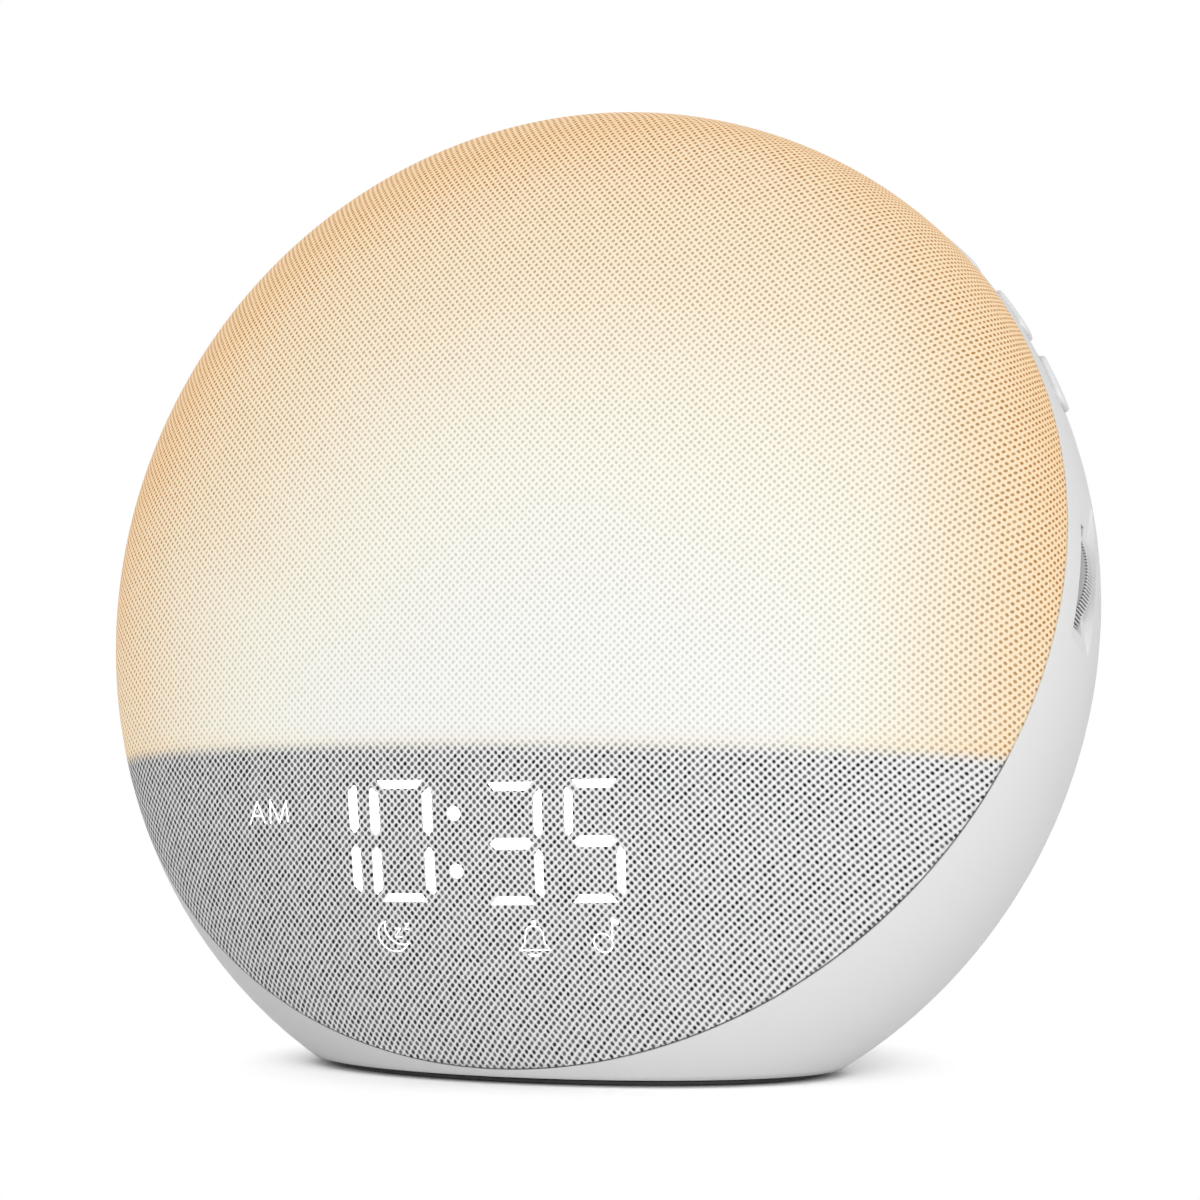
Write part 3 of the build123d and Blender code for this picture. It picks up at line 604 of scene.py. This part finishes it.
thread_glow = glow_ramp((0.333, 250, 251, 246), (0.475, 253, 250, 238), (0.575, 254, 246, 227),
                        (0.675, 254, 240, 213), (0.775, 254, 234, 202), (0.883, 254, 229, 191),
                        (1.0, 253, 217, 167))
hole_glow = glow_ramp((0.333, 216, 216, 212), (0.475, 213, 212, 200), (0.575, 205, 199, 180),
                      (0.675, 198, 171, 148), (0.775, 186, 148, 100), (0.883, 181, 124, 55),
                      (1.0, 174, 104, 30))
glow = mixed(tree, hole, thread_glow, hole_glow)

# Just above the shelf the light is a little warmer.
fringe = ranged(above_shelf, 0.5, 3.0, 1.0, 0.0)
glow = mixed(tree, fringe, glow, (1.0, 0.965, 0.92, 1), "MULTIPLY")

# Lit cloth shines by itself and throws little light back. Grey cloth throws light back,
# and its threads glow faintly, as painted light that evens out their shading.
grey_thread = mixed(tree, thread, (0.5, 0.5, 0.5, 1), (0.72, 0.72, 0.72, 1))
plain = mixed(tree, hole, grey_thread, (0.018, 0.018, 0.018, 1))
dimmed = mixed(tree, 1.0, glow, (0.25, 0.25, 0.25, 1), "MULTIPLY")
# Painted light: the grey threads glow faintly to even out their shading.
painted_grey_glow = mixed(tree, hole, (0.3, 0.3, 0.3, 1), (0, 0, 0, 1))
base = mixed(tree, lit, plain, dimmed)
emitted = mixed(tree, lit, painted_grey_glow, glow)

# The last threads before the groove lie in its shade, most of all below the light.
open_cloth = ranged(past_rim, 0.05, 0.25, 0.08, 1.0)
open_cloth = grey_level(tree, sums("MAXIMUM", open_cloth, sums("MULTIPLY", lit, 0.85)))
height = sums("SUBTRACT", sums("MULTIPLY", thread, 0.25), hole)
relief = add_node(tree, "Bump", {"Height": height, "Strength": 0.5, "Distance": 0.0002})
tree.links.new(mixed(tree, 1.0, base, open_cloth, "MULTIPLY"), shader.inputs["Base Color"])
tree.links.new(mixed(tree, 1.0, emitted, open_cloth, "MULTIPLY"),
               shader.inputs["Emission Color"])
tree.links.new(relief.outputs[0], shader.inputs["Normal"])
shader.inputs["Emission Strength"].default_value = 0.72
shader.inputs["Roughness"].default_value = 0.9
shader.inputs["Specular IOR Level"].default_value = 0.2
shader.inputs["Sheen Weight"].default_value = 0.15
shader.inputs["Sheen Roughness"].default_value = 0.5

cloth = new_piece("cloth_cover", cover, cloth_knit)
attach(cloth, "body")
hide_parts("fabric_cover")

# ---- Time, half-day letters and symbols ----
# The display's light comes through the cloth as crisp white bars, dots and thin outlines.
# Each patch of light lies on the cloth's outer face. Sizes here are in millimetres from
# the body's middle, across and up.


def patch(light, *corners):
    light.faces.new([light.verts.new((x, 0, z)) for x, z in corners])


def drawn_line(light, width, *points):
    """Straight strokes of light from point to point, with square ends."""
    for start, end in zip(points, points[1:]):
        ahead = (Vector(end) - Vector(start)).normalized() * width / 2
        side = Vector((-ahead.y, ahead.x))
        tail, tip = Vector(start) - ahead, Vector(end) + ahead
        patch(light, tail - side, tip - side, tip + side, tail + side)


def arc(light, width, middle, radius, start, sweep, wide=1.0):
    """A curved line of light, spun round its middle and then stretched sideways."""
    others = set(light.verts)
    centre = Vector((middle[0], 0, middle[1]))
    turn = radians(start)
    ends = [light.verts.new((middle[0] + reach * cos(turn), 0, middle[1] + reach * sin(turn)))
            for reach in (radius - width / 2, radius + width / 2)]
    line = light.edges.new(ends)
    bmesh.ops.spin(light, geom=[line] + ends, cent=centre, axis=(0, -1, 0),
                   angle=radians(sweep), steps=max(4, int(abs(sweep) / 8)),
                   use_merge=sweep == 360)
    bmesh.ops.scale(light, vec=(wide, 1, 1), space=Matrix.Translation(-centre),
                    verts=[corner for corner in light.verts if corner not in others])


def light_piece(name, light, material):
    """Lays flat patches of light on the cloth's outer face.

    They are cut every millimetre first, across and up, so that they can follow its curve.
    The cuts are set off a little, to pass beside the corners of the patches."""
    apart, offset, lift = 0.001, 0.00013, 0.00004
    bmesh.ops.scale(light, vec=(0.001, 0.001, 0.001), verts=light.verts)
    bmesh.ops.translate(light, vec=body_middle, verts=light.verts)
    for way, first, last in ((Vector((1, 0, 0)), -40, 30), (Vector((0, 0, 1)), 18, 52)):
        for step in range(first, last):
            bmesh.ops.bisect_plane(light, geom=light.verts[:] + light.edges[:] + light.faces[:],
                                   plane_co=way * (step * apart + offset), plane_no=way)
    bmesh.ops.triangulate(light, faces=light.faces)
    for corner in light.verts:
        before = Vector((corner.co.x, -1, corner.co.z))
        corner.co, outwards, _, _ = front.ray_cast(before, Vector((0, 1, 0)))
        corner.co += outwards * lift
    bmesh.ops.recalc_face_normals(light, faces=light.faces)
    if sum(face.normal.y * face.calc_area() for face in light.faces) > 0:
        bmesh.ops.reverse_faces(light, faces=light.faces)
    piece = new_piece(name, light, material)
    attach(piece, "body")


display_glow, tree, shader = new_material("display_glow")
place = add_node(tree, "TexCoord").outputs["Object"]
weave = add_node(tree, "TexNoise", {"Vector": place, "Scale": 1500.0, "Detail": 1.0})
tone = mixed(tree, weave.outputs["Fac"], (0.95, 0.96, 0.97, 1), (1, 1, 1, 1))
tree.links.new(tone, shader.inputs["Emission Color"])
shader.inputs["Base Color"].default_value = (0.8, 0.8, 0.8, 1)
shader.inputs["Emission Strength"].default_value = 1.0
shader.inputs["Roughness"].default_value = 0.9

# A figure is made of up to seven bars. The whole row tips, and each figure leans and bows.
# The top and bottom bars slope in at their ends, from their outer to their inner edge.
shown_bars = {"1": "upper_right lower_right",
              "0": "top upper_left upper_right lower_left lower_right bottom",
              "3": "top upper_right middle lower_right bottom",
              "5": "top upper_left middle lower_right bottom"}
row_tip, bow = 0.03, 0.0025
bar_out, bar_in, bar_slope = 9.52, 8.18, 1.1


def draw_figure(light, figure, left, right, middle_row, lean, thick, gap):
    """The bars of one figure, between its left and right edge."""
    shown = shown_bars[figure].split()
    centre, half = (left + right) / 2, (right - left) / 2

    def bar(*corners):
        patch(light, *[(centre + x + lean * z - bow * z * z, middle_row + z + row_tip * x)
                       for x, z in corners])

    end = half - gap
    for name, side in (("top", 1), ("bottom", -1)):
        if name in shown:
            bar((-end, bar_out * side), (end, bar_out * side),
                (end - bar_slope, bar_in * side), (bar_slope - end, bar_in * side))
    if "middle" in shown:
        tip, shoulder = end - 0.12, end - 1.07
        bar((-tip, 0), (-shoulder, 0.88), (shoulder, 0.88), (tip, 0), (shoulder, -0.88),
            (-shoulder, -0.88))
    for name, side, rise in (("upper_right", 1, 1), ("upper_left", -1, 1),
                             ("lower_right", 1, -1), ("lower_left", -1, -1)):
        if name in shown:
            bar(*[(side * (half + x), rise * z) for x, z in (
                (0.48 * thick, 8.4), (thick, 8.0), (thick, 1.7), (0, 0.87), (-thick, 1.7),
                (-thick, 7.4))])


digits = bmesh.new()
draw_figure(digits, "1", -26.5, -16.15, -33.4, lean=0.025, thick=0.84, gap=0.63)
draw_figure(digits, "0", -12.25, -2.75, -33.4, lean=0.037, thick=0.83, gap=0.63)
draw_figure(digits, "3", 6.75, 15.6, -33.35, lean=0.055, thick=0.68, gap=0.72)
draw_figure(digits, "5", 20.45, 28.4, -32.72, lean=0.064, thick=0.64, gap=0.48)
dot_radius = 1.14
for dot in ((1.9, -28.84), (1.6, -37.8)):
    arc(digits, dot_radius, dot, dot_radius / 2, 0, 360)
light_piece("time_light", digits, display_glow)

letters = bmesh.new()
letter_width = 0.3
drawn_line(letters, letter_width, (-37.52, -31.63), (-35.62, -28.1), (-34.22, -31.31))
drawn_line(letters, letter_width, (-36.71, -30.3), (-34.72, -30.3))
drawn_line(letters, letter_width, (-33.04, -31.27), (-32.76, -27.77), (-31.09, -31.09),
           (-29.41, -27.78), (-29.28, -30.91))
light_piece("half_day_light", letters, display_glow)

# The symbols are a crescent moon with two small letters z, an alarm bell and a note.
symbols = bmesh.new()
moon_line, sleep_line, thin_line = 0.21, 0.18, 0.19
arc(symbols, moon_line, (-11.3, -48.45), 2.45, 108.6, 233, wide=1.13)
arc(symbols, moon_line, (-9.77, -47.25), 2.5, 152, 148, wide=1.13)
drawn_line(symbols, sleep_line, (-10.72, -47.22), (-9.71, -47.18), (-10.92, -48.55),
           (-9.68, -48.55))
drawn_line(symbols, sleep_line, (-8.75, -46.43), (-8.04, -46.35), (-8.89, -47.2),
           (-8.21, -47.3))

patch(symbols, (13.1, -45.95), (13.1, -45.25), (13.75, -45.25), (13.75, -45.95))
arc(symbols, thin_line, (13.22, -47.35), 1.25, 0, 180, wide=1.11)
drawn_line(symbols, thin_line, (11.83, -47.41), (11.4, -48.92), (10.5, -49.9))
drawn_line(symbols, thin_line, (14.62, -47.34), (14.71, -48.85), (15.35, -49.7))
drawn_line(symbols, thin_line, (10.45, -50.0), (15.4, -49.8))
patch(symbols, (11.5, -50.55), (12.2, -50.97), (13.25, -50.95), (13.96, -50.5))

arc(symbols, thin_line, (23.83, -48.54), 1.5, 0, 360, wide=0.95)
drawn_line(symbols, thin_line, (25.25, -48.5), (25.7, -44.75))
patch(symbols, (25.6, -44.5), (25.85, -44.54), (26.66, -45.16), (26.58, -45.68), (25.7, -45.3))
light_piece("symbol_light", symbols, display_glow)
